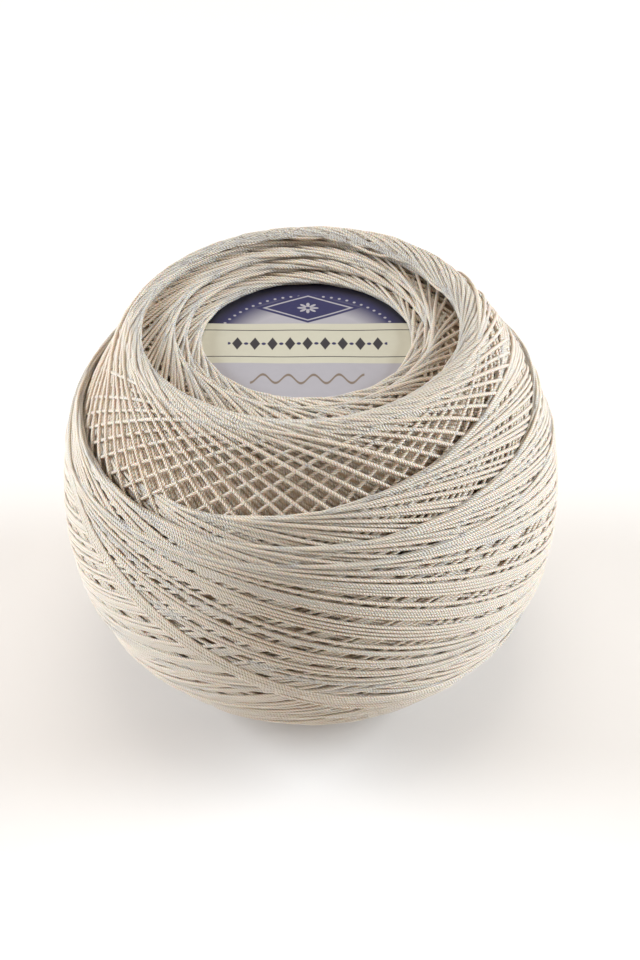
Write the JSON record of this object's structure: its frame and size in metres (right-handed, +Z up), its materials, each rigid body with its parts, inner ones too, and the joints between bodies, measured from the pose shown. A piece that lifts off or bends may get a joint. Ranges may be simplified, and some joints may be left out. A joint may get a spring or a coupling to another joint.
{
  "type": "ball of crochet thread",
  "caption": "Cross-wound ball of ecru crochet thread: slanting turns end in stepped rims round a top hollow that holds a round paper label; a flat ring under it to stand on.",
  "frame": {"origin": "centre of the footprint, on the plane of the flat ring that the ball stands on", "axes": "+Z up along the winding axis, through the middle of the label; -Y is the side that faces the camera in the picture"},
  "size_m": [0.0704, 0.0703, 0.0571],
  "materials": {
    "ecru_thread": "twisted mercerised cotton with a soft silky sheen",
    "label_paper": "smooth printed paper, half matt"
  },
  "bodies": {
    "root": {"thread_ball": "ecru_thread", "label_disc": "label_paper"}
  },
  "joints": []
}
